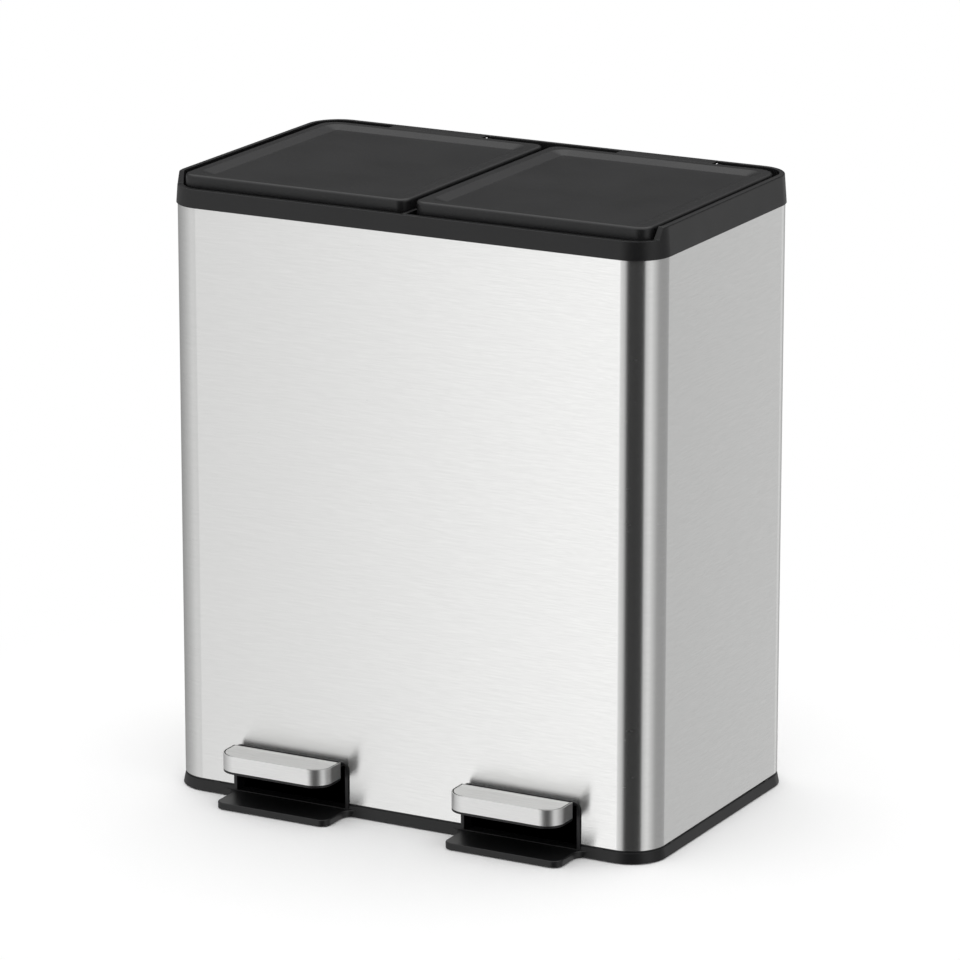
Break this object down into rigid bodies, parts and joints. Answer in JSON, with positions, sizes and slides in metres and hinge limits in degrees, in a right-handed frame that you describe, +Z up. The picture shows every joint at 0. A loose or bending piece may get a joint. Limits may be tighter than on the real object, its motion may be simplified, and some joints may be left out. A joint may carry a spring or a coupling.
{
  "type": "pedal recycling bin",
  "caption": "Rectangular side-by-side recycling bin with a brushed steel body, hinged lids over lift-out buckets, and pedals that raise the lids by push rods.",
  "frame": {"origin": "on the floor, at the centre of the overall footprint, pedals and foot plates included", "axes": "+Z up, -Y towards the person who stands at the pedals, +X to that person's right"},
  "size_m": [0.5574, 0.376, 0.65],
  "materials": {
    "brushed_steel": "fine horizontal brushing",
    "zinc_steel": "dull zinc plate",
    "painted_steel": "satin black",
    "black_plastic": "fine moulded grain",
    "lid_plastic": "satin, fine moulded grain",
    "bucket_plastic": "satin dark grey",
    "damper_plastic": "natural white",
    "black_rubber": "matte"
  },
  "bodies": {
    "body": {"base": "black_plastic", "outer_shell": "brushed_steel", "top_frame": "black_plastic", "hinge_pin_left": "zinc_steel", "hinge_pin_right": "zinc_steel", "lid_damper_left": "damper_plastic", "lid_damper_right": "damper_plastic", "lid_buffer_inner_left": "black_rubber", "lid_buffer_outer_left": "black_rubber", "lid_buffer_inner_right": "black_rubber", "lid_buffer_outer_right": "black_rubber", "rod_cover_left": "black_plastic", "rod_cover_right": "black_plastic", "lever_axle_left": "zinc_steel", "lever_axle_right": "zinc_steel", "axle_retainer_inner_left": "zinc_steel", "axle_retainer_outer_left": "zinc_steel", "axle_retainer_inner_right": "zinc_steel", "axle_retainer_outer_right": "zinc_steel", "foot_front_left": "black_rubber", "foot_front_right": "black_rubber", "foot_rear_left": "black_rubber", "foot_rear_right": "black_rubber"},
    "lid_left": {"lid_left": "lid_plastic", "lid_liner_left": "lid_plastic"},
    "lid_right": {"lid_right": "lid_plastic", "lid_liner_right": "lid_plastic"},
    "pedal_left": {"pedal_lever_left": "painted_steel", "pedal_body_left": "black_plastic", "pedal_cap_left": "brushed_steel", "pedal_screw_front_left": "zinc_steel", "pedal_screw_rear_left": "zinc_steel"},
    "pedal_right": {"pedal_lever_right": "painted_steel", "pedal_body_right": "black_plastic", "pedal_cap_right": "brushed_steel", "pedal_screw_front_right": "zinc_steel", "pedal_screw_rear_right": "zinc_steel"},
    "push_rod_left": {"push_rod_left": "zinc_steel"},
    "push_rod_right": {"push_rod_right": "zinc_steel"},
    "bucket_left": {"bucket_left": "bucket_plastic"},
    "bucket_right": {"bucket_right": "bucket_plastic"}
  },
  "joints": [
    {"name": "lid_left_hinge", "type": "hinge", "parent": "body", "child": "lid_left", "pos_m": [-0.1333, 0.17855, 0.642], "axis": [-1, 0, 0], "range_deg": [0, 80]},
    {"name": "lid_right_hinge", "type": "hinge", "parent": "body", "child": "lid_right", "pos_m": [0.1333, 0.17855, 0.642], "axis": [-1, 0, 0], "range_deg": [0, 80]},
    {"name": "pedal_left_hinge", "type": "hinge", "parent": "body", "child": "pedal_left", "pos_m": [-0.1333, 0.0253, 0.036], "axis": [1, 0, 0], "range_deg": [0, 8]},
    {"name": "pedal_right_hinge", "type": "hinge", "parent": "body", "child": "pedal_right", "pos_m": [0.1333, 0.0253, 0.036], "axis": [1, 0, 0], "range_deg": [0, 8]},
    {"name": "push_rod_left_slide", "type": "slide", "parent": "body", "child": "push_rod_left", "axis": [0, 0, 1], "range_m": [0, 0.0197]},
    {"name": "push_rod_right_slide", "type": "slide", "parent": "body", "child": "push_rod_right", "axis": [0, 0, 1], "range_m": [0, 0.0197]},
    {"name": "bucket_left_lift", "type": "slide", "parent": "body", "child": "bucket_left", "axis": [0, 0, 1], "range_m": [0, 0.005]},
    {"name": "bucket_right_lift", "type": "slide", "parent": "body", "child": "bucket_right", "axis": [0, 0, 1], "range_m": [0, 0.005]}
  ],
  "couplings": [
    {"joint": "pedal_left_hinge", "follows": "lid_left_hinge", "ratio": 0.1},
    {"joint": "push_rod_left_slide", "follows": "lid_left_hinge", "m_per_rad": 0.014099},
    {"joint": "pedal_right_hinge", "follows": "lid_right_hinge", "ratio": 0.1},
    {"joint": "push_rod_right_slide", "follows": "lid_right_hinge", "m_per_rad": 0.014099}
  ]
}
